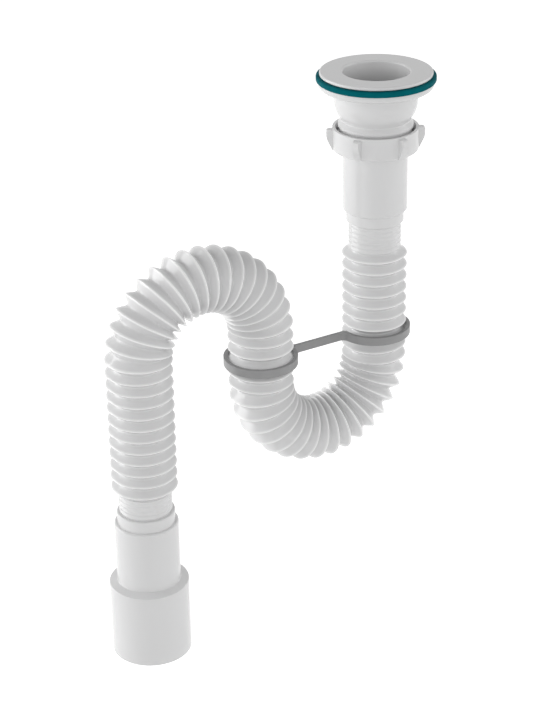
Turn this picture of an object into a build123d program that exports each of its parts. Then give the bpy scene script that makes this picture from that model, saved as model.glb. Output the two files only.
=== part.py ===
from build123d import *
import math
import os

# Corrugated sink trap, in millimetres. Z is up, and the origin is on the inlet axis at the level where the
# sink is clamped, which is the top of the gasket. The hose lies in the XZ plane and runs towards -X.

# Strainer flange and its cup
flange_diameter = 69.0
flange_thickness = 2.4
flange_rim = 2.1
flange_edge = 1.0
flange_under_edge = 0.6
flange_seat_width = 7.0
cup_bore = 40.5
cup_lip = 1.3
cup_wall = 1.8
cup_depth = 18.0
grate_thickness = 3.0
grate_spokes = 6
spoke_width = 2.6
hub_diameter = 15.0
hub_height = 5.0

# Gasket
gasket_diameter = 73.0
gasket_thickness = 3.5
gasket_edge = 0.9
gasket_clearance = 0.5

# Outlet body: flange, bowl and spigot
body_flange_diameter = 70.6
body_flange_thickness = 4.5
body_flange_edge = 3.0
bowl_gap = 1.4
bowl_wall = 2.2
bowl_straight = 6.5
bowl_curve = 20.8
neck_relief = 2.15
neck_height = 0.6
spigot_length = 9.7
spigot_wall = 4.15
spigot_bead = 1.45
thread_root_depth = 0.95
web_count = 3
web_width = 2.6
web_height = 9.0
boss_diameter = 14.0
boss_floor = 1.6

# Clamping screw and its brass insert
screw_diameter = 6.0
screw_head_diameter = 11.0
screw_head_height = 2.6
screw_slot_width = 1.4
screw_slot_depth = 1.2
screw_overrun = 2.0
insert_diameter = 10.0
insert_height = 7.0
screw_clearance = 0.3
thread_clearance = 0.05

# Union nut and its washer
nut_bore = 48.4
nut_wall = 2.3
nut_height = 14.0
nut_lip = 2.2
nut_mouth_taper = 0.5
nut_mouth_depth = 1.6
nut_edge = 1.2
rib_count = 6
rib_height = 3.8
rib_root_width = 5.2
rib_tip_width = 3.6
rib_top_gap = 1.0
rib_foot_gap = 0.4
rib_foot_step = 0.4
rib_foot_rise = 7.0
rib_foot_round = 9.0
rib_edge = 1.2
rib_turn = 32.0
washer_thickness = 2.0
washer_wall = 4.6
thread_depth = 1.05
sleeve_flange_clearance = 0.9
running_clearance = 0.3

# Upper sleeve
sleeve_length = 41.8
sleeve_step = 2.0
sleeve_edge = 1.4
sleeve_wall = 3.0
sleeve_flange_thickness = 2.5
collar_wall = 1.95
collar_edge = 0.7
upper_collar_length = 7.2
socket_depth = 24.0
socket_clearance = 0.05

# Bellows hose
hose_bore = 29.6
hose_wall = 1.0
fold_depth = 4.7
neck_step = 0.2
fold_pitch = 7.7
fold_sides = 24
leg_spacing = 84.7
upper_neck = 18.2
inlet_leg = 72.5
middle_leg = 37.0
outlet_leg = 87.1
lower_neck = 14.0

# Outlet cuff
lower_collar_length = 7.7
small_cuff_step = 2.0
small_cuff_length = 41.0
large_cuff_step = 5.0
large_cuff_length = 51.1
large_cuff_fall = 1.9
cuff_wall = 2.2
cuff_edge = 0.6
cuff_fillet = 0.5

# Retaining clip
clip_wall = 2.2
clip_height = 5.3
clip_clearance = 0.5
clip_above_bend = 13.7
clip_corner = 4.0
hook_tip_angle = 2.0

# Diameters worked outwards from the bores
cup_outer = cup_bore + 2 * cup_wall
bowl_diameter = cup_outer + 2 * (bowl_gap + bowl_wall)
spigot_diameter = nut_bore - 2 * thread_depth
spigot_bore = spigot_diameter - 2 * spigot_wall
neck_diameter = spigot_diameter - 2 * neck_relief
nut_diameter = nut_bore + 2 * nut_wall
root_diameter = hose_bore + 2 * hose_wall
crest_diameter = root_diameter + 2 * fold_depth
hose_neck_diameter = root_diameter + 2 * neck_step
socket_diameter = hose_neck_diameter + 2 * socket_clearance
collar_diameter = socket_diameter + 2 * collar_wall
sleeve_diameter = collar_diameter + 2 * sleeve_step
sleeve_bore = sleeve_diameter - 2 * sleeve_wall
sleeve_flange_diameter = nut_bore - 2 * sleeve_flange_clearance
small_cuff_diameter = collar_diameter + 2 * small_cuff_step
large_cuff_diameter = small_cuff_diameter + 2 * large_cuff_step

# Levels worked down from the clamped sink
gasket_bottom = -gasket_thickness
body_flange_bottom = gasket_bottom - body_flange_thickness
bowl_curve_top = body_flange_bottom - bowl_straight
bowl_axis = bowl_diameter / 2 - bowl_curve
bowl_drop = math.sqrt(bowl_curve**2 - (neck_diameter / 2 - bowl_axis) ** 2)
neck_top = bowl_curve_top - bowl_drop
spigot_top = neck_top - neck_height - (spigot_diameter - neck_diameter) / 2
spigot_end = spigot_top - spigot_length
washer_bottom = spigot_end - washer_thickness
sleeve_flange_bottom = washer_bottom - sleeve_flange_thickness
nut_bottom = sleeve_flange_bottom - nut_lip
nut_top = nut_bottom + nut_height
sleeve_bottom = sleeve_flange_bottom - sleeve_length
upper_collar_bottom = sleeve_bottom - upper_collar_length
hose_top = upper_collar_bottom + socket_depth
fold_top = upper_collar_bottom - upper_neck
lower_bend_level = fold_top - inlet_leg
upper_bend_level = lower_bend_level + middle_leg
fold_bottom = upper_bend_level - outlet_leg
lower_collar_top = fold_bottom - lower_neck
hose_bottom = lower_collar_top - socket_depth
small_cuff_top = lower_collar_top - lower_collar_length
large_cuff_top = small_cuff_top - small_cuff_length
cuff_bottom = large_cuff_top - large_cuff_length
clip_bottom = lower_bend_level + clip_above_bend

middle_axis = -leg_spacing
outlet_axis = -2 * leg_spacing
bend_radius = leg_spacing / 2


def turned(outline, rounds=()):
    """A piece turned about Z from its half section of (radius, height) points, with some corners rounded."""
    section = make_face(Polyline(*outline, close=True))
    for corner, radius in rounds:
        section = fillet(section.vertices().sort_by_distance(corner)[0], radius)
    return revolve(Plane.XZ * section, axis=Axis.Z)


def tube(outer, inner, top, bottom):
    """A plain tube about Z between two levels."""
    return Pos(0, 0, bottom) * extrude(Circle(outer / 2) - Circle(inner / 2), amount=top - bottom)


def strainer_flange():
    """Flange that thins towards its rim, and a cup whose floor is a grate of spokes about the screw hub."""
    rim = flange_diameter / 2
    bore = cup_bore / 2
    shell = turned(
        [
            (bore, flange_thickness),
            (rim, flange_thickness),
            (rim, flange_thickness - flange_rim),
            (cup_outer / 2 + flange_seat_width, 0),
            (cup_outer / 2, 0),
            (cup_outer / 2, -cup_depth),
            (bore, -cup_depth),
        ],
        [
            ((rim, flange_thickness), flange_edge),
            ((rim, flange_thickness - flange_rim), flange_under_edge),
            ((bore, flange_thickness), cup_lip),
        ],
    )
    reach = bore + cup_wall / 2
    spoke = Pos(reach / 2, 0, 0) * Rectangle(reach, spoke_width)
    spokes = [Rot(0, 0, 360 * i / grate_spokes) * spoke for i in range(grate_spokes)]
    grate = Circle(hub_diameter / 2) + spokes
    hub = tube(hub_diameter, screw_diameter, hub_height - cup_depth, -cup_depth)
    floor = Pos(0, 0, -cup_depth) * extrude(grate, amount=grate_thickness)
    return shell + floor + hub - screw_hole()


def screw_hole():
    """Clearance hole through the hub, countersunk for the screw's head."""
    hole = screw_diameter / 2 + screw_clearance
    head = screw_head_diameter / 2
    top = hub_height - cup_depth
    return turned(
        [(0, top), (head, top), (hole, top - screw_head_height), (hole, -cup_depth - 1), (0, -cup_depth - 1)]
    )


def flange_gasket():
    """Rubber ring with softened outer edges."""
    rim = gasket_diameter / 2
    bore = cup_outer / 2 + gasket_clearance
    return turned(
        [(bore, 0), (rim, 0), (rim, gasket_bottom), (bore, gasket_bottom)],
        [((rim, 0), gasket_edge), ((rim, gasket_bottom), gasket_edge)],
    )


def outlet_body():
    """Flange, bowl and beaded spigot in one wall, with a webbed boss for the screw insert."""
    bowl = bowl_diameter / 2
    inner_curve = bowl_curve - bowl_wall
    bore = spigot_bore / 2
    turn = math.degrees(math.asin(bowl_drop / bowl_curve))
    inner_turn = math.degrees(math.acos((bore - bowl_axis) / inner_curve))
    outside = CenterArc((bowl_axis, bowl_curve_top), bowl_curve, 0, -turn)
    inside = CenterArc((bowl_axis, bowl_curve_top), inner_curve, -inner_turn, inner_turn)
    rim = body_flange_diameter / 2
    upper = Polyline(
        inside @ 1,
        (bowl - bowl_wall, gasket_bottom),
        (rim, gasket_bottom),
        (rim, body_flange_bottom),
        (bowl, body_flange_bottom),
        outside @ 0,
    )
    lower = Polyline(
        outside @ 1,
        (neck_diameter / 2, neck_top - neck_height),
        (spigot_diameter / 2, spigot_top),
        (spigot_diameter / 2, spigot_top - spigot_bead),
        (spigot_diameter / 2 - thread_root_depth, spigot_top - spigot_bead),
        (spigot_diameter / 2 - thread_root_depth, spigot_end),
        (bore, spigot_end),
        inside @ 0,
    )
    section = make_face([upper, outside, lower, inside])
    section = fillet(section.vertices().sort_by_distance((rim, body_flange_bottom))[0], body_flange_edge)
    shell = revolve(Plane.XZ * section, axis=Axis.Z)
    reach = bore + bowl_wall / 2
    web = Pos(reach / 2, 0, 0) * Rectangle(reach, web_width)
    spider = Circle(boss_diameter / 2) + [Rot(0, 0, 360 * i / web_count) * web for i in range(web_count)]
    boss = Pos(0, 0, spigot_end) * extrude(spider, amount=web_height)
    pocket = Pos(0, 0, spigot_end) * extrude(Circle(insert_diameter / 2), amount=web_height - boss_floor)
    hole = Pos(0, 0, spigot_end) * extrude(Circle(screw_diameter / 2 + screw_clearance), amount=web_height)
    return shell + (boss - pocket - hole)


def screw_insert():
    """Brass nut pressed up into the boss."""
    top = spigot_end + web_height - boss_floor
    return tube(insert_diameter, screw_diameter + 2 * thread_clearance, top, top - insert_height)


def strainer_screw():
    """Countersunk screw from the hub down through the insert, with a driving slot."""
    top = hub_height - cup_depth
    shank = screw_diameter / 2
    end = spigot_end + web_height - boss_floor - insert_height - screw_overrun
    cone = (screw_head_diameter / 2 - shank - screw_clearance) / screw_head_height
    body = turned(
        [
            (0, top),
            (screw_head_diameter / 2, top),
            (shank, top - (screw_head_diameter / 2 - shank) / cone),
            (shank, end),
            (0, end),
        ]
    )
    slot = Pos(0, 0, top) * Box(screw_head_diameter, screw_slot_width, 2 * screw_slot_depth)
    return body - slot


def nut_rib(angle):
    """One tapering rib, with a small round at its top and a foot that curves in to the nut."""
    root = nut_diameter / 2
    tip = root + rib_height
    inside = root - rib_height / 2
    plan = make_face(
        Polyline(
            (inside, -rib_root_width / 2),
            (tip, -rib_tip_width / 2),
            (tip, rib_tip_width / 2),
            (inside, rib_root_width / 2),
            close=True,
        )
    )
    block = Pos(0, 0, nut_bottom) * extrude(plan, amount=nut_height)
    top = nut_top - rib_top_gap
    foot = nut_bottom + rib_foot_gap
    envelope = turned(
        [(inside, top), (tip, top), (tip, foot + rib_foot_rise), (root + rib_foot_step, foot), (inside, foot)],
        [((tip, top), rib_edge), ((tip, foot + rib_foot_rise), rib_foot_round)],
    )
    return Rot(0, 0, angle) * (block & envelope)


def coupling_nut():
    """Nut with a plain bore, a lip that carries the sleeve's flange, and ribs round the outside."""
    outer = nut_diameter / 2
    lip_bore = sleeve_diameter / 2 + running_clearance
    shell = turned(
        [
            (nut_bore / 2, nut_top - nut_mouth_depth),
            (nut_bore / 2 + nut_mouth_taper, nut_top),
            (outer, nut_top),
            (outer, nut_bottom),
            (lip_bore, nut_bottom),
            (lip_bore, sleeve_flange_bottom),
            (nut_bore / 2, sleeve_flange_bottom),
        ],
        [((outer, nut_bottom), nut_edge)],
    )
    return shell + [nut_rib(rib_turn + 360 * i / rib_count) for i in range(rib_count)]


def union_washer():
    """Flat rubber washer between the spigot and the sleeve's flange."""
    return tube(spigot_diameter, spigot_diameter - 2 * washer_wall, spigot_end, washer_bottom)


def upper_sleeve():
    """Flanged sleeve with a collar, and a socket in which the hose's neck seats against a shoulder."""
    outer = sleeve_diameter / 2
    collar = collar_diameter / 2
    return turned(
        [
            (sleeve_bore / 2, washer_bottom),
            (sleeve_flange_diameter / 2, washer_bottom),
            (sleeve_flange_diameter / 2, sleeve_flange_bottom),
            (outer, sleeve_flange_bottom),
            (outer, sleeve_bottom),
            (collar, sleeve_bottom),
            (collar, upper_collar_bottom),
            (socket_diameter / 2, upper_collar_bottom),
            (socket_diameter / 2, hose_top),
            (hose_bore / 2, hose_top),
            (sleeve_bore / 2, hose_top + (sleeve_bore - hose_bore) / 2),
        ],
        [((outer, sleeve_bottom), sleeve_edge), ((collar, upper_collar_bottom), collar_edge)],
    )


def outlet_cuff():
    """Stepped drain cuff with a sloping shoulder, a collar and a socket like the sleeve's."""
    collar = collar_diameter / 2
    small = small_cuff_diameter / 2
    large = large_cuff_diameter / 2
    small_bore = small - cuff_wall
    large_bore = large - cuff_wall
    throat = large_cuff_top - cuff_wall
    cuff = turned(
        [
            (socket_diameter / 2, lower_collar_top),
            (collar, lower_collar_top),
            (collar, small_cuff_top),
            (small, small_cuff_top),
            (small, large_cuff_top),
            (large, large_cuff_top - large_cuff_fall),
            (large, cuff_bottom),
            (large_bore, cuff_bottom),
            (large_bore, throat - large_cuff_fall),
            (small_bore, throat),
            (small_bore, hose_bottom - (small_bore - hose_bore / 2)),
            (hose_bore / 2, hose_bottom),
            (socket_diameter / 2, hose_bottom),
        ],
        [
            ((collar, lower_collar_top), collar_edge),
            ((small, small_cuff_top), sleeve_edge),
            ((small, large_cuff_top), cuff_fillet),
            ((large, large_cuff_top - large_cuff_fall), cuff_edge),
        ],
    )
    return Pos(outlet_axis, 0, 0) * cuff


def path_plane(distance):
    """The plane square to the hose's path at a distance along it from the top of the folds."""
    bend = math.pi * bend_radius
    if distance <= inlet_leg:
        return Plane((0, 0, fold_top - distance), x_dir=(1, 0, 0), z_dir=(0, 0, -1))
    distance -= inlet_leg
    if distance <= bend:
        turn = distance / bend_radius
        out = Vector(math.cos(turn), 0, -math.sin(turn))
        centre = Vector(-bend_radius, 0, lower_bend_level)
        return Plane(centre + out * bend_radius, x_dir=out, z_dir=(-math.sin(turn), 0, -math.cos(turn)))
    distance -= bend
    if distance <= middle_leg:
        return Plane((middle_axis, 0, lower_bend_level + distance), x_dir=(-1, 0, 0), z_dir=(0, 0, 1))
    distance -= middle_leg
    if distance <= bend:
        turn = distance / bend_radius
        out = Vector(math.cos(turn), 0, math.sin(turn))
        centre = Vector(middle_axis - bend_radius, 0, upper_bend_level)
        return Plane(centre + out * bend_radius, x_dir=out * -1, z_dir=(-math.sin(turn), 0, math.cos(turn)))
    distance -= bend
    return Plane((outlet_axis, 0, upper_bend_level - distance), x_dir=(1, 0, 0), z_dir=(0, 0, -1))


def fold_ring(plane, diameter):
    """The corners of one flat-sided ring of the bellows."""
    corner = Vector(diameter / 2, 0, 0)
    return [plane.from_local_coords(corner.rotate(Axis.Z, 360 * i / fold_sides)) for i in range(fold_sides)]


def flank(ring, next_ring):
    """The facets between two rings: two triangles to each side."""
    facets = []
    for i in range(fold_sides):
        j = (i + 1) % fold_sides
        facets.append(Face(Wire.make_polygon([ring[i], ring[j], next_ring[j]])))
        facets.append(Face(Wire.make_polygon([ring[i], next_ring[j], next_ring[i]])))
    return facets


def curved_faces(solid):
    """The faces of a bar or bend without its flat ends."""
    return [face for face in solid.faces() if face.geom_type != GeomType.PLANE]


def bore_faces():
    """The smooth bore: three straight legs joined by two half-turn bends."""
    section = Circle(hose_bore / 2)
    legs = [
        Pos(0, 0, lower_bend_level) * extrude(section, amount=hose_top - lower_bend_level),
        Pos(middle_axis, 0, lower_bend_level) * extrude(section, amount=middle_leg),
        Pos(outlet_axis, 0, hose_bottom) * extrude(section, amount=upper_bend_level - hose_bottom),
    ]
    lower_axis = Axis((-bend_radius, 0, lower_bend_level), (0, 1, 0))
    upper_axis = Axis((middle_axis - bend_radius, 0, upper_bend_level), (0, -1, 0))
    bends = [
        revolve(Pos(0, 0, lower_bend_level) * section, axis=lower_axis, revolution_arc=180),
        revolve(Pos(middle_axis, 0, upper_bend_level) * section, axis=upper_axis, revolution_arc=180),
    ]
    return [face for solid in legs + bends for face in curved_faces(solid)]


def bellows_hose():
    """Blown hose: plain necks, evenly spaced folds along the S, and a smooth bore, sewn into one wall."""
    length = inlet_leg + middle_leg + outlet_leg + 2 * math.pi * bend_radius
    folds = round(length / fold_pitch)
    step = length / folds / 2
    rings = []
    for i in range(2 * folds + 1):
        rings.append(fold_ring(path_plane(i * step), crest_diameter if i % 2 else root_diameter))
    skin = [facet for a, b in zip(rings, rings[1:]) for facet in flank(a, b)]
    disc = Circle(hose_neck_diameter / 2)
    neck_ends = [(0, hose_top, fold_top, rings[0]), (outlet_axis, hose_bottom, fold_bottom, rings[-1])]
    for axis, end, shoulder, ring in neck_ends:
        neck = Pos(axis, 0, min(end, shoulder)) * extrude(disc, amount=abs(end - shoulder))
        ledge = Face((Pos(axis, 0, shoulder) * disc).wire(), [Wire.make_polygon(ring)])
        rim = Pos(axis, 0, end) * (disc - Circle(hose_bore / 2))
        skin += curved_faces(neck) + [ledge] + list(rim.faces())
    return Solid(Shell(skin + bore_faces()))


def retaining_clip():
    """A strip bent into a closed ring on the middle leg, a strap, and an open hook about the inlet leg."""
    inner = crest_diameter / 2 + clip_clearance
    outer = inner + clip_wall
    ring = Circle(outer) - Circle(inner)
    reach = 2 * outer
    mouth = make_face(
        Polyline(
            (0, 0),
            (reach * math.cos(math.radians(hook_tip_angle)), reach * math.sin(math.radians(hook_tip_angle))),
            (reach, reach),
            (-reach, reach),
            (-reach, 0),
            close=True,
        )
    )
    strap = Pos(-leg_spacing / 2, 0) * Rectangle(leg_spacing - 2 * inner - clip_wall, clip_wall)
    outline = Pos(middle_axis, 0) * ring + strap + (ring - mouth)
    half = clip_wall / 2
    bends = [(-outer, -half), (middle_axis + outer, half), (middle_axis + outer, -half)]
    for bend in bends:
        outline = fillet(outline.vertices().sort_by_distance(bend)[0], clip_corner)
    return Pos(0, 0, clip_bottom) * extrude(outline, amount=clip_height)


os.makedirs("parts", exist_ok=True)
PIECES = [
    strainer_flange,
    flange_gasket,
    outlet_body,
    screw_insert,
    strainer_screw,
    coupling_nut,
    union_washer,
    upper_sleeve,
    bellows_hose,
    outlet_cuff,
    retaining_clip,
]
for piece in PIECES:
    export_step(piece(), f"parts/{piece.__name__}.step")
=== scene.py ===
import math
import bpy
import numpy as np
from bpy.props import FloatProperty, FloatVectorProperty, IntProperty, PointerProperty
from mathutils import Matrix, Vector


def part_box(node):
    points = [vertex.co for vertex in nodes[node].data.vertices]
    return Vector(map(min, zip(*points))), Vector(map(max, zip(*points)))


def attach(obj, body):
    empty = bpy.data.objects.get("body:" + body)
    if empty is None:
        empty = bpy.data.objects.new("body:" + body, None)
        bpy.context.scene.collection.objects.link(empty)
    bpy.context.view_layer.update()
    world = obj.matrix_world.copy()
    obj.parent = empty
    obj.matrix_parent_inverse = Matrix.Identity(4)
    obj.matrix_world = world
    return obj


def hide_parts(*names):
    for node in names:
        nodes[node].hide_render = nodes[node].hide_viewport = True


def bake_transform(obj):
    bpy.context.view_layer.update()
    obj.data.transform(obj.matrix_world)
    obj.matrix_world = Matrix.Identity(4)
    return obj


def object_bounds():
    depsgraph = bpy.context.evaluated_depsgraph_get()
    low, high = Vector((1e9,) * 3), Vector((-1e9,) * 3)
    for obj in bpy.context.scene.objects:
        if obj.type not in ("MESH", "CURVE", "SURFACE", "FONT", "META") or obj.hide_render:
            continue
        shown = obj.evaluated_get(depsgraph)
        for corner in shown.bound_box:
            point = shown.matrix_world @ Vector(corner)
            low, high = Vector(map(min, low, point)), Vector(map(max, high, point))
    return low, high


bl_info = {
    "name": "Corrugated sink trap",
    "version": (1, 0, 0),
    "blender": (4, 5, 0),
    "location": "View3D > Sidebar > Trap",
    "description": "Bellows hose, thread and finishes of a flexible sink trap, with a studio stage",
    "category": "Object",
}

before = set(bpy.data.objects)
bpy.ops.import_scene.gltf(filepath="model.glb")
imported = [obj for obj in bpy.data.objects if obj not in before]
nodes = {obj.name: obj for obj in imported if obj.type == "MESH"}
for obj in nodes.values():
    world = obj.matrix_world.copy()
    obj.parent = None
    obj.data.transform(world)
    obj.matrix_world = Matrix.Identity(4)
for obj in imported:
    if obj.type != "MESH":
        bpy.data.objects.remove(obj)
cad_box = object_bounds()
hose_low, hose_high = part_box("bellows_hose")
sleeve_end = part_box("upper_sleeve")[0][2]
cuff_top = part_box("outlet_cuff")[1][2]
nut_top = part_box("coupling_nut")[1][2]
spigot_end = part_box("outlet_body")[0][2]
crest = hose_high[0]
WHITE_PIECES = ("strainer_flange", "outlet_body", "coupling_nut", "upper_sleeve", "outlet_cuff")

# Points along each fold's outside and inside, along a neck, and from one point inside a neck to the next
OUTSIDE_STEPS = 12
INSIDE_STEPS = 6
NECK_STEPS = 110
NECK_SKIP = 12
# Share by which the points along a fold are drawn to its crest and root
FOLD_GATHER = 0.7
# Points in one turn of the thread, the turns left off at its lower end, and how soon its ends fade
THREAD_POINTS = 72
THREAD_SHORT = 0.6
THREAD_FADE = 3
# Values between which noise mostly lies
NOISE_LOW, NOISE_HIGH = 0.3, 0.7
# Half the floor's side, and each lamp's setting, place (across, forward and up from the aim) and size
FLOOR_REACH = 6.0
LAMPS = {
    "left_lamp": ("left_power", (-2.4, -0.4, 0.4), (1.8, 2.4)),
    "right_lamp": ("right_power", (2.4, -0.4, 0.9), (1.8, 2.4)),
    "front_lamp": ("front_power", (0.0, 1.4, 0.5), (2.0, 0.3)),
}


class HoseSizes(bpy.types.PropertyGroup):
    """Sizes of the bellows hose and of its S-shaped path."""

    crest_radius: FloatProperty(
        name="Crest radius", description="Radius of the folds' outside", default=crest, unit="LENGTH"
    )
    root_radius: FloatProperty(
        name="Root radius", description="Radius at the bottom of the folds", default=0.0158, unit="LENGTH"
    )
    neck_radius: FloatProperty(
        name="Neck radius", description="Radius of the plain necks", default=0.016, unit="LENGTH"
    )
    wall: FloatProperty(
        name="Wall",
        description="Thickness of the blown wall",
        default=0.0009,
        unit="LENGTH",
    )
    leg_spacing: FloatProperty(
        name="Leg spacing",
        description="Distance from one leg of the S to the next",
        default=-(hose_low[0] + crest) / 2,
        unit="LENGTH",
    )
    fold_top: FloatProperty(
        name="Fold top", description="Height at which the folds start", default=-0.11175, unit="LENGTH"
    )
    inlet_leg: FloatProperty(
        name="Inlet leg", description="Straight length before the lower bend", default=0.0725, unit="LENGTH"
    )
    middle_leg: FloatProperty(
        name="Middle leg", description="Straight length between the bends", default=0.037, unit="LENGTH"
    )
    outlet_leg: FloatProperty(
        name="Outlet leg", description="Straight folds after the upper bend", default=0.0871, unit="LENGTH"
    )
    middle_lead: FloatProperty(
        name="Middle lead",
        description="How far the middle leg's folds sit along from an even spacing",
        default=0.0032,
        unit="LENGTH",
    )
    folds: IntProperty(name="Folds", description="Number of folds along the hose", default=60, min=10)
    upper_folds: IntProperty(
        name="Upper folds", description="Folds before the seam of the stretching leg", default=49, min=5
    )
    crest_rounding: FloatProperty(
        name="Crest rounding",
        description="Share of each flank that is rounded at the crest",
        default=0.09,
        min=0.02,
    )
    root_rounding: FloatProperty(
        name="Root rounding",
        description="Share of each flank that is rounded at the root",
        default=0.22,
        min=0.02,
    )
    neck_ring_pitch: FloatProperty(
        name="Neck ring pitch",
        description="Distance between the necks' fine rings",
        default=0.0031,
        unit="LENGTH",
    )
    neck_ring_height: FloatProperty(
        name="Neck ring height",
        description="How far the fine rings stand proud",
        default=0.00055,
        unit="LENGTH",
    )
    sides: IntProperty(name="Sides", description="Points round the hose", default=88, min=12)


class ThreadSizes(bpy.types.PropertyGroup):
    """Sizes of the ridge that winds round the spigot."""

    root_radius: FloatProperty(
        name="Root radius", description="Radius from which the ridge rises", default=0.0221, unit="LENGTH"
    )
    crest_radius: FloatProperty(
        name="Crest radius", description="Radius of the ridge's flat top", default=0.0238, unit="LENGTH"
    )
    pitch: FloatProperty(name="Pitch", description="Rise of one turn", default=0.002309, unit="LENGTH")
    top: FloatProperty(
        name="Top",
        description="Height at which the ridge runs out",
        default=nut_top - 0.0023,
        unit="LENGTH",
    )


class Finishes(bpy.types.PropertyGroup):
    """Colours and gloss of the trap's materials."""

    white: FloatVectorProperty(
        name="White plastic",
        description="Colour of hose and mouldings",
        subtype="COLOR",
        default=(0.71, 0.71, 0.712),
    )
    # Painted highlight: this paler colour along the folds' crests stands in for the light that the crests
    # catch
    crest_highlight: FloatVectorProperty(
        name="Painted crest highlight",
        description="Colour along the folds' crests",
        subtype="COLOR",
        default=(0.97, 0.97, 0.97),
    )
    white_roughness: FloatProperty(
        name="White roughness",
        description="Softness of its gloss",
        default=0.15,
    )
    gasket: FloatVectorProperty(
        name="Gasket rubber",
        description="Colour of the sink gasket",
        subtype="COLOR",
        default=(0.0005, 0.115, 0.136),
    )
    washer: FloatVectorProperty(
        name="Washer rubber",
        description="Colour of the union washer",
        subtype="COLOR",
        default=(0.02, 0.02, 0.021),
    )
    clip: FloatVectorProperty(
        name="Clip plastic",
        description="Colour of the retaining clip",
        subtype="COLOR",
        default=(0.28, 0.28, 0.282),
    )
    steel: FloatVectorProperty(
        name="Steel",
        description="Colour of the clamping screw",
        subtype="COLOR",
        default=(0.62, 0.62, 0.60),
    )
    brass: FloatVectorProperty(
        name="Brass",
        description="Colour of the screw's insert",
        subtype="COLOR",
        default=(0.72, 0.52, 0.24),
    )


class StageSettings(bpy.types.PropertyGroup):
    """Camera, floor and soft lights."""

    azimuth: FloatProperty(
        name="Azimuth",
        description="Camera's turn about the vertical",
        subtype="ANGLE",
        default=math.radians(-31.115),
    )
    elevation: FloatProperty(
        name="Elevation",
        description="Camera's height as an angle",
        subtype="ANGLE",
        default=math.radians(26.003),
    )
    roll: FloatProperty(
        name="Roll", description="Camera's lean", subtype="ANGLE", default=math.radians(-0.958)
    )
    distance: FloatProperty(
        name="Distance", description="From the aim to the camera", default=1.20492, unit="LENGTH"
    )
    aim: FloatVectorProperty(
        name="Aim",
        description="Point the camera turns about",
        subtype="TRANSLATION",
        default=(-0.086, 0, -0.2203),
    )
    slide: FloatVectorProperty(
        name="Slide",
        description="How far the camera is slid right and up from the aim",
        size=2,
        default=(0.006034, 0.046448),
    )
    lens: FloatProperty(name="Lens", description="Focal length on a 36 mm tall film, in mm", default=95.32)
    floor_drop: FloatProperty(
        name="Floor drop", description="From the outlet down to the floor", default=0.25, unit="LENGTH"
    )
    floor: FloatVectorProperty(
        name="Floor",
        description="Floor's colour",
        subtype="COLOR",
        default=(0.9, 0.9, 0.9),
    )
    floor_glow: FloatProperty(
        name="Floor glow",
        description="Light that the floor adds from below",
        default=0.04,
    )
    horizon: FloatProperty(
        name="Horizon",
        description="Level of the light from low all round",
        default=0.85,
    )
    zenith: FloatProperty(name="Zenith", description="Level of the light from overhead", default=0.32)
    left_power: FloatProperty(
        name="Left lamp",
        description="Power of the left lamp",
        subtype="POWER",
        default=38.0,
    )
    right_power: FloatProperty(
        name="Right lamp",
        description="Power of the right lamp",
        subtype="POWER",
        default=14.0,
    )
    front_power: FloatProperty(
        name="Front lamp",
        description="Power of the front lamp",
        subtype="POWER",
        default=4.0,
    )


def hose_path(distance, sizes):
    """Point and heading of the hose's centre line at distances along it from the top of the folds.

    The line goes straight down, turns half round a circle whose diameter is the leg spacing, goes up, turns
    half round again and goes down: x falls by the radius times one minus the cosine of each bend's angle, and
    z sums the straight runs and the sines. The heading is the first bend's angle less the second's.
    """
    radius = sizes.leg_spacing / 2
    bend = math.pi * radius
    first = np.clip((distance - sizes.inlet_leg) / radius, 0, math.pi)
    climb = np.clip(distance - sizes.inlet_leg - bend, 0, sizes.middle_leg)
    second_start = sizes.inlet_leg + bend + sizes.middle_leg
    second = np.clip((distance - second_start) / radius, 0, math.pi)
    drop = np.minimum(distance, sizes.inlet_leg) + np.maximum(distance - second_start - bend, 0)
    x = radius * (np.cos(first) + np.cos(second) - 2)
    z = sizes.fold_top - drop + climb + radius * (np.sin(second) - np.sin(first))
    return np.stack([x, np.zeros_like(x), z], axis=-1), first - second


def hose_length(sizes):
    """Length of the folded part: three straight legs and two half turns."""
    return sizes.inlet_leg + sizes.middle_leg + sizes.outlet_leg + math.pi * sizes.leg_spacing


def fold_bottom(sizes):
    """Height at which the folds end."""
    return hose_path(np.array([hose_length(sizes)]), sizes)[0][0][2]


def fold_place(turn, sizes):
    """Distance along the hose of a place counted in folds.

    The spacing is even, except that the middle leg's folds sit further along by its lead: half of the lead
    times the cosine of the upper bend's angle less the cosine of the lower bend's.
    """
    even = turn * hose_length(sizes) / sizes.folds
    radius = sizes.leg_spacing / 2
    lower = np.clip((even - sizes.inlet_leg) / radius, 0, math.pi)
    upper = np.clip((even - sizes.inlet_leg - sizes.middle_leg) / radius - math.pi, 0, math.pi)
    return even + sizes.middle_lead * (np.cos(upper) - np.cos(lower)) / 2


def fold_radius(turn, sizes):
    """Radius at a place within the folds, counted in folds.

    A triangle wave from root to crest, with a parabola in place of each corner over its rounded share,
    stretched so that it still reaches both radii.
    """
    fall = np.abs(2 * (turn - np.floor(turn)) - 1)
    top, foot = sizes.crest_rounding, sizes.root_rounding
    height = 1 - fall
    height = np.where(fall < top, 1 - fall**2 / (2 * top) - top / 2, height)
    height = np.where(fall > 1 - foot, (1 - fall) ** 2 / (2 * foot) + foot / 2, height)
    height = (height - foot / 2) / (1 - top / 2 - foot / 2)
    return sizes.root_radius + (sizes.crest_radius - sizes.root_radius) * height


def neck_radius(bare, sizes):
    """Radius of a neck at a distance out of its socket.

    Fine rings stand on the plain radius by the square of a sine that passes half a turn in each ring.
    """
    turns = np.clip(bare, 0, None) / sizes.neck_ring_pitch
    return sizes.neck_radius + sizes.neck_ring_height * np.sin(turns * math.pi) ** 2


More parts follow.
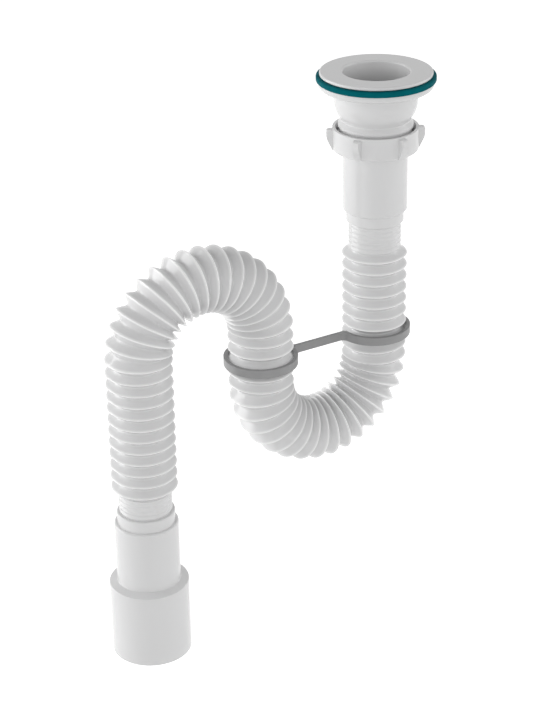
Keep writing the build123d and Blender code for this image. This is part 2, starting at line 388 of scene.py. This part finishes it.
def fold_turns(start, end, steps):
    """Places along the folds, counted in folds, drawn closer together at each crest and root by a sine."""
    even = np.arange(round((end - start) * steps) + 1) / steps + start
    return even - FOLD_GATHER * np.sin(4 * math.pi * even) / (4 * math.pi)


def wall_section(outer, inner, wall):
    """A closed run of (distance, radius): down the outside, then back up the inside at a wall's depth."""
    inside = np.stack([inner[::-1, 0], inner[::-1, 1] - wall], axis=-1)
    return np.concatenate([outer, inside])


def folded_run(start, end, steps, sizes):
    """A run of (distance, radius) along the folds between two places counted in folds."""
    turns = fold_turns(start, end, steps)
    return np.stack([fold_place(turns, sizes), fold_radius(turns, sizes)], axis=-1)


def neck_run(end, fold, socket, sizes):
    """A run of (distance from the folds, radius) along a neck, from its end to the folds."""
    level = np.linspace(end, fold, NECK_STEPS)[:-1]
    bare = np.abs(level - end) - abs(socket - end)
    return np.stack([np.abs(level - fold), neck_radius(bare, sizes)], axis=-1)


def hose_sections(seam, sizes):
    """The closed runs of the hose's two lengths, which meet at the seam."""
    top = neck_run(hose_high[2], sizes.fold_top, sleeve_end, sizes) * (-1, 1)
    foot = neck_run(hose_low[2], fold_bottom(sizes), cuff_top, sizes)[::-1] + (hose_length(sizes), 0)
    upper = wall_section(
        np.concatenate([top, folded_run(0, seam, OUTSIDE_STEPS, sizes)]),
        np.concatenate([top[::NECK_SKIP], folded_run(0, seam, INSIDE_STEPS, sizes)]),
        sizes.wall,
    )
    lower = wall_section(
        np.concatenate([folded_run(seam, sizes.folds, OUTSIDE_STEPS, sizes), foot]),
        np.concatenate([folded_run(seam, sizes.folds, INSIDE_STEPS, sizes), foot[::-NECK_SKIP][::-1]]),
        sizes.wall,
    )
    return upper, lower


def swept_wall(section, sizes):
    """Carries a closed run of (distance, radius) round the hose's centre line.

    Each point is the centre line at its distance, plus its radius along a direction that turns about the
    line's heading: the cosine lies in the plane of the S and the sine across it.
    """
    centre, heading = hose_path(section[:, 0], sizes)
    around = np.linspace(0, 2 * math.pi, sizes.sides, endpoint=False)
    across = np.stack([np.cos(heading), np.zeros_like(heading), -np.sin(heading)], axis=-1)
    spread = across[:, None, :] * np.cos(around)[None, :, None]
    spread = spread + np.array([0, 1, 0]) * np.sin(around)[None, :, None]
    return centre[:, None, :] + section[:, 1, None, None] * spread


def thread_ridge(sizes):
    """A ridge of flat-topped section wound down the spigot, and the faces that close its two ends.

    The angle grows evenly while the height falls by the pitch in each turn. The radius rises from root to
    crest over the section, and the rise fades to nothing over the first and last third of a turn.
    """
    turns = (sizes.top - spigot_end) / sizes.pitch - THREAD_SHORT
    turn = np.linspace(0, turns, round(turns * THREAD_POINTS))
    fade = np.clip(np.minimum(turn, turns - turn) * THREAD_FADE, 0.02, 1)
    offset = np.array([0.42, 0.12, -0.12, -0.42]) * sizes.pitch
    rise = np.array([0, 1, 1, 0]) * (sizes.crest_radius - sizes.root_radius)
    radius = sizes.root_radius + fade[:, None] * rise[None, :]
    angle = 2 * math.pi * turn[:, None] + np.zeros(4)[None, :]
    height = sizes.top - 0.5 * sizes.pitch - sizes.pitch * turn[:, None] + offset[None, :]
    grid = np.stack([radius * np.cos(angle), radius * np.sin(angle), height], axis=-1)
    last = 4 * (len(turn) - 1)
    return grid, ((0, 1, 2, 3), (last + 3, last + 2, last + 1, last))


def grid_faces(rows, columns, closed_rows):
    """Four-cornered faces of a grid whose columns meet round, and whose rows meet too where it is closed."""
    row = np.arange(rows if closed_rows else rows - 1)[:, None]
    column = np.arange(columns)[None, :]
    below = (row + 1) % rows
    beside = (column + 1) % columns
    here, under = row * columns, below * columns
    corners = [here + column, here + beside, under + beside, under + column]
    return np.stack(np.broadcast_arrays(*corners), axis=-1).reshape(-1, 4)


def outward(points, faces):
    """The faces, turned over if the volume that they enclose comes out negative."""
    a, b, c, d = (points[faces[:, i]] for i in range(4))
    volume = np.einsum("ij,ij->", a, np.cross(b, c)) + np.einsum("ij,ij->", a, np.cross(c, d))
    return faces if volume > 0 else faces[:, ::-1]


def mesh_piece(name, grid, extra=(), crease=40.0):
    """A smooth closed mesh from a grid of points that meets itself both ways, or is capped by extra faces."""
    points = grid.reshape(-1, 3)
    faces = outward(points, grid_faces(grid.shape[0], grid.shape[1], not extra))
    mesh = bpy.data.meshes.new(name)
    mesh.from_pydata(points.tolist(), [], faces.tolist() + [list(face) for face in extra])
    mesh.polygons.foreach_set("use_smooth", np.ones(len(mesh.polygons), bool))
    mesh.set_sharp_from_angle(angle=math.radians(crease))
    mesh.validate()
    piece = bpy.data.objects.new(name, mesh)
    bpy.context.scene.collection.objects.link(piece)
    return piece


def crest_attribute(piece, section, sizes):
    """Marks the points near a crest for the painted highlight: from nought at nine tenths of the fold's
    height to one at the crest.
    """
    height = (section[:, 1] - sizes.root_radius) / (sizes.crest_radius - sizes.root_radius)
    mark = np.repeat(np.clip(height * 10 - 9, 0, 1), sizes.sides)
    piece.data.attributes.new("crest", "FLOAT", "POINT").data.foreach_set("value", mark.astype(np.float32))


def material_shader(name):
    """A new material's node tree and its main shader."""
    material = bpy.data.materials.new(name)
    material.use_nodes = True
    tree = material.node_tree
    return material, tree, tree.nodes["Principled BSDF"]


def surface_noise(tree, scale, detail, stretch=(1, 1, 1)):
    """Noise over the piece's own coordinates, drawn out by stretch."""
    place = tree.nodes.new("ShaderNodeTexCoord")
    mapping = tree.nodes.new("ShaderNodeMapping")
    mapping.inputs["Scale"].default_value = stretch
    noise = tree.nodes.new("ShaderNodeTexNoise")
    noise.inputs["Scale"].default_value = scale
    noise.inputs["Detail"].default_value = detail
    tree.links.new(place.outputs["Object"], mapping.inputs["Vector"])
    tree.links.new(mapping.outputs["Vector"], noise.inputs["Vector"])
    return noise.outputs["Fac"]


def tint(tree, shader, noise, colour, spread):
    """Base colour that wanders between a darker and a lighter shade of one colour as the noise does."""
    ramp = tree.nodes.new("ShaderNodeValToRGB")
    ramp.color_ramp.elements[0].position = NOISE_LOW
    ramp.color_ramp.elements[1].position = NOISE_HIGH
    ramp.color_ramp.elements[0].color = (*[c * (1 - spread) for c in colour], 1)
    ramp.color_ramp.elements[1].color = (*[min(1, c * (1 + spread)) for c in colour], 1)
    tree.links.new(noise, ramp.inputs["Fac"])
    tree.links.new(ramp.outputs["Color"], shader.inputs["Base Color"])


def gloss(tree, shader, noise, level, spread):
    """Roughness that follows the noise to either side of a level."""
    span = tree.nodes.new("ShaderNodeMapRange")
    span.inputs["From Min"].default_value = NOISE_LOW
    span.inputs["From Max"].default_value = NOISE_HIGH
    span.inputs["To Min"].default_value = level - spread
    span.inputs["To Max"].default_value = level + spread
    tree.links.new(noise, span.inputs["Value"])
    tree.links.new(span.outputs["Result"], shader.inputs["Roughness"])


def grain(tree, shader, noise, strength, depth):
    """Fine relief of the surface."""
    bump = tree.nodes.new("ShaderNodeBump")
    bump.inputs["Strength"].default_value = strength
    bump.inputs["Distance"].default_value = depth
    tree.links.new(noise, bump.inputs["Height"])
    tree.links.new(bump.outputs["Normal"], shader.inputs["Normal"])


def white_plastic(name, look, flow):
    """Semi-gloss white plastic with faint flow marks and a fine moulded grain."""
    material, tree, shader = material_shader(name)
    streaks = surface_noise(tree, scale=45, detail=4, stretch=flow)
    sheen = surface_noise(tree, scale=60, detail=2, stretch=flow)
    tint(tree, shader, streaks, look.white, spread=0.008)
    gloss(tree, shader, sheen, look.white_roughness, spread=0.015)
    grain(tree, shader, surface_noise(tree, scale=500, detail=2), strength=0.012, depth=0.0001)
    shader.inputs["IOR"].default_value = 1.49
    return material


def hose_plastic(look):
    """The white plastic, blown thin, with a painted highlight along each crest: the crest mark mixes in a
    paler white.
    """
    material = white_plastic("white_hose", look, (1, 1, 1))
    tree = material.node_tree
    shader = tree.nodes["Principled BSDF"]
    plain = shader.inputs["Base Color"].links[0].from_socket
    crests = tree.nodes.new("ShaderNodeAttribute")
    crests.attribute_name = "crest"
    pale = tree.nodes.new("ShaderNodeMix")
    pale.data_type = "RGBA"
    # Painted highlight: near each crest the colour is mixed towards a paler white in place of the light that
    # the crests catch
    pale.inputs["B"].default_value = (*look.crest_highlight, 1)
    tree.links.new(crests.outputs["Fac"], pale.inputs["Factor"])
    tree.links.new(plain, pale.inputs["A"])
    tree.links.new(pale.outputs["Result"], shader.inputs["Base Color"])
    return material


def rubber(name, colour, roughness, spread):
    """Matt rubber: dusty bloom in the colour and a fine pebbled skin."""
    material, tree, shader = material_shader(name)
    tint(tree, shader, surface_noise(tree, scale=160, detail=6), colour, spread=0.14)
    gloss(tree, shader, surface_noise(tree, scale=260, detail=4), roughness, spread)
    grain(tree, shader, surface_noise(tree, scale=1500, detail=3), strength=0.25, depth=0.0002)
    shader.inputs["Specular IOR Level"].default_value = 0.02
    return material


def clip_plastic(look):
    """Grey satin plastic with a spark-eroded grain."""
    material, tree, shader = material_shader("grey_clip")
    tint(tree, shader, surface_noise(tree, scale=120, detail=5), look.clip, spread=0.05)
    gloss(tree, shader, surface_noise(tree, scale=200, detail=4), level=0.42, spread=0.06)
    grain(tree, shader, surface_noise(tree, scale=1800, detail=3), strength=0.15, depth=0.00015)
    shader.inputs["IOR"].default_value = 1.5
    return material


def turned_metal(name, colour, roughness):
    """Bright metal with fine tool marks drawn out round its axis."""
    material, tree, shader = material_shader(name)
    tint(tree, shader, surface_noise(tree, scale=90, detail=4), colour, spread=0.06)
    sheen = surface_noise(tree, scale=300, detail=3, stretch=(1, 1, 12))
    marks = surface_noise(tree, scale=500, detail=2, stretch=(1, 1, 14))
    gloss(tree, shader, sheen, roughness, spread=0.08)
    grain(tree, shader, marks, strength=0.12, depth=0.0001)
    shader.inputs["Metallic"].default_value = 1.0
    return material


def floor_material(stage):
    """Pale matt floor that the camera and reflections see lifted to white, where no shadow falls on it."""
    material, tree, shader = material_shader("studio_floor")
    tint(tree, shader, surface_noise(tree, scale=3, detail=2), stage.floor, spread=0.004)
    shader.inputs["Roughness"].default_value = 0.9
    shader.inputs["Specular IOR Level"].default_value = 0.0
    shader.inputs["Emission Color"].default_value = (1, 1, 1, 1)
    tree.links.new(seen_directly(tree, level=0.5, base=stage.floor_glow), shader.inputs["Emission Strength"])
    return material


def seen_directly(tree, level, base):
    """A base value for all rays, raised by the level for camera, glossy and transmission rays."""
    path = tree.nodes.new("ShaderNodeLightPath")
    total = path.outputs["Is Camera Ray"]
    for name in ("Is Glossy Ray", "Is Transmission Ray"):
        either = tree.nodes.new("ShaderNodeMath")
        either.operation = "MAXIMUM"
        tree.links.new(total, either.inputs[0])
        tree.links.new(path.outputs[name], either.inputs[1])
        total = either.outputs["Value"]
    scaled = tree.nodes.new("ShaderNodeMath")
    scaled.operation = "MULTIPLY_ADD"
    scaled.inputs[1].default_value = level
    scaled.inputs[2].default_value = base
    tree.links.new(total, scaled.inputs[0])
    return scaled.outputs["Value"]


def camera_axes(stage):
    """The camera's right, up and backward directions from its turn, height and lean."""
    turn, rise, lean = stage.azimuth, stage.elevation, stage.roll
    back = Vector((math.sin(turn) * math.cos(rise), -math.cos(turn) * math.cos(rise), math.sin(rise)))
    level = Vector((math.cos(turn), math.sin(turn), 0))
    upright = back.cross(level)
    right = level * math.cos(lean) + upright * math.sin(lean)
    up = upright * math.cos(lean) - level * math.sin(lean)
    return right, up, back


def soft_lamp(name, place, aim, size, power):
    """A rectangular soft lamp that faces the aim."""
    lamp = bpy.data.lights.new(name, "AREA")
    lamp.shape = "RECTANGLE"
    lamp.size, lamp.size_y = size
    lamp.energy = power
    light = bpy.data.objects.new(name, lamp)
    facing = (place - aim).to_track_quat("Z", "Y").to_matrix().to_4x4()
    light.matrix_world = Matrix.Translation(place) @ facing
    bpy.context.scene.collection.objects.link(light)


def sky_gradient(tree, stage):
    """Light from all round that goes from the horizon's level to the zenith's with the sine of the height."""
    place = tree.nodes.new("ShaderNodeTexCoord")
    split = tree.nodes.new("ShaderNodeSeparateXYZ")
    level = tree.nodes.new("ShaderNodeMapRange")
    level.inputs["To Min"].default_value = stage.horizon
    level.inputs["To Max"].default_value = stage.zenith
    tree.links.new(place.outputs["Generated"], split.inputs["Vector"])
    tree.links.new(split.outputs["Z"], level.inputs["Value"])
    tree.links.new(level.outputs["Result"], tree.nodes["Background"].inputs["Strength"])
    tree.nodes["Background"].inputs["Color"].default_value = (1, 1, 1, 1)


def add_camera(scene, stage, axes):
    """The camera, slid off the line to its aim."""
    right, up, back = axes
    camera = bpy.data.objects.new("camera", bpy.data.cameras.new("camera"))
    camera.data.sensor_fit = "VERTICAL"
    camera.data.sensor_height = 36.0
    camera.data.lens = stage.lens
    eye = Vector(stage.aim) + back * stage.distance + right * stage.slide[0] + up * stage.slide[1]
    camera.matrix_world = Matrix.Translation(eye) @ Matrix(axes).transposed().to_4x4()
    scene.collection.objects.link(camera)
    scene.camera = camera


def add_floor(scene, stage):
    """A square floor some way below the outlet."""
    level = cad_box[0][2] - stage.floor_drop
    corners = [(-1, -1), (1, -1), (1, 1), (-1, 1)]
    mesh = bpy.data.meshes.new("floor")
    mesh.from_pydata([(x * FLOOR_REACH, y * FLOOR_REACH, level) for x, y in corners], [], [(0, 1, 2, 3)])
    floor = bpy.data.objects.new("floor", mesh)
    mesh.materials.append(floor_material(stage))
    scene.collection.objects.link(floor)


def add_lamps(stage, right, back):
    """The soft lamps, placed by the camera's level directions."""
    aim = Vector(stage.aim)
    side = Vector((right.x, right.y, 0)).normalized()
    front = Vector((back.x, back.y, 0)).normalized()
    rise = Vector((0, 0, 1))
    for name, (setting, (across, forward, high), size) in LAMPS.items():
        place = aim + side * across + front * forward + rise * high
        soft_lamp(name, place, aim, size, getattr(stage, setting))


def dress(name, material):
    """Gives a solid its finish."""
    solid = nodes[name]
    solid.data.materials.clear()
    solid.data.materials.append(material)


class TRAP_OT_mouldings(bpy.types.Operator):
    """White finish of the flange, outlet body, nut, sleeve and cuff"""

    bl_idname = "trap.mouldings"
    bl_label = "White mouldings"

    def execute(self, context):
        material = white_plastic("white_moulding", context.scene.trap_finishes, (1, 1, 0.35))
        for name in WHITE_PIECES:
            dress(name, material)
        return {"FINISHED"}


class TRAP_OT_seals(bpy.types.Operator):
    """Rubber of the sink gasket and the union washer"""

    bl_idname = "trap.seals"
    bl_label = "Rubber seals"

    def execute(self, context):
        look = context.scene.trap_finishes
        dress("flange_gasket", rubber("teal_rubber", look.gasket, roughness=0.51, spread=0.09))
        dress("union_washer", rubber("black_rubber", look.washer, roughness=0.6, spread=0.1))
        return {"FINISHED"}


class TRAP_OT_clip(bpy.types.Operator):
    """Grey plastic of the retaining clip"""

    bl_idname = "trap.clip"
    bl_label = "Retaining clip"

    def execute(self, context):
        dress("retaining_clip", clip_plastic(context.scene.trap_finishes))
        return {"FINISHED"}


class TRAP_OT_fixings(bpy.types.Operator):
    """Metal of the clamping screw and its insert"""

    bl_idname = "trap.fixings"
    bl_label = "Screw and insert"

    def execute(self, context):
        look = context.scene.trap_finishes
        dress("strainer_screw", turned_metal("steel", look.steel, roughness=0.3))
        dress("screw_insert", turned_metal("brass", look.brass, roughness=0.34))
        return {"FINISHED"}


class TRAP_OT_bellows(bpy.types.Operator):
    """Blown hose in two lengths: the S that hangs from the inlet, and the outlet leg below the seam"""

    bl_idname = "trap.bellows"
    bl_label = "Bellows hose"

    def execute(self, context):
        sizes = context.scene.trap_hose
        material = hose_plastic(context.scene.trap_finishes)
        seam = sizes.upper_folds + 0.5
        upper, lower = hose_sections(seam, sizes)
        upper_piece = mesh_piece("hose_upper", swept_wall(upper, sizes))
        lower_piece = mesh_piece("hose_outlet_leg", swept_wall(lower, sizes))
        for piece, section in ((upper_piece, upper), (lower_piece, lower)):
            crest_attribute(piece, section, sizes)
            piece.data.materials.append(material)
            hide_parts("bellows_hose")
        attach(upper_piece, "hose")
        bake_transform(lower_piece)
        return {"FINISHED"}


class TRAP_OT_thread(bpy.types.Operator):
    """Helical ridge of the union thread round the spigot"""

    bl_idname = "trap.thread"
    bl_label = "Spigot thread"

    def execute(self, context):
        sizes = context.scene.trap_thread
        piece = mesh_piece("spigot_thread", *thread_ridge(sizes))
        piece.data.materials.append(bpy.data.materials["white_moulding"])
        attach(piece, "waste")
        return {"FINISHED"}


class TRAP_OT_stage(bpy.types.Operator):
    """Camera, floor, lamps and sky"""

    bl_idname = "trap.stage"
    bl_label = "Studio stage"

    def execute(self, context):
        stage = context.scene.trap_stage
        right, up, back = camera_axes(stage)
        add_camera(context.scene, stage, (right, up, back))
        add_floor(context.scene, stage)
        add_lamps(stage, right, back)
        world = bpy.data.worlds.new("studio")
        world.use_nodes = True
        context.scene.world = world
        sky_gradient(world.node_tree, stage)
        context.scene.view_settings.view_transform = "Standard"
        return {"FINISHED"}


OPERATORS = (
    TRAP_OT_mouldings,
    TRAP_OT_seals,
    TRAP_OT_clip,
    TRAP_OT_fixings,
    TRAP_OT_bellows,
    TRAP_OT_thread,
    TRAP_OT_stage,
)
SETTINGS = {
    "trap_hose": HoseSizes,
    "trap_thread": ThreadSizes,
    "trap_finishes": Finishes,
    "trap_stage": StageSettings,
}


class TRAP_PT_panel(bpy.types.Panel):
    """Sidebar list of the trap's pieces and settings"""

    bl_idname = "TRAP_PT_panel"
    bl_label = "Sink trap"
    bl_space_type = "VIEW_3D"
    bl_region_type = "UI"
    bl_category = "Trap"

    def draw(self, context):
        for operator in OPERATORS:
            self.layout.operator(operator.bl_idname)
        for name, group in SETTINGS.items():
            settings = getattr(context.scene, name)
            for field in group.__annotations__:
                self.layout.prop(settings, field)


def register():
    for cls in (*SETTINGS.values(), *OPERATORS, TRAP_PT_panel):
        bpy.utils.register_class(cls)
    for name, group in SETTINGS.items():
        setattr(bpy.types.Scene, name, PointerProperty(type=group))


def unregister():
    for name in SETTINGS:
        delattr(bpy.types.Scene, name)
    for cls in reversed((*SETTINGS.values(), *OPERATORS, TRAP_PT_panel)):
        bpy.utils.unregister_class(cls)


def main():
    register()
    bpy.ops.trap.mouldings()
    bpy.ops.trap.seals()
    bpy.ops.trap.clip()
    bpy.ops.trap.fixings()
    bpy.ops.trap.bellows()
    bpy.ops.trap.thread()
    bpy.ops.trap.stage()


if __name__ == "__main__":
    main()
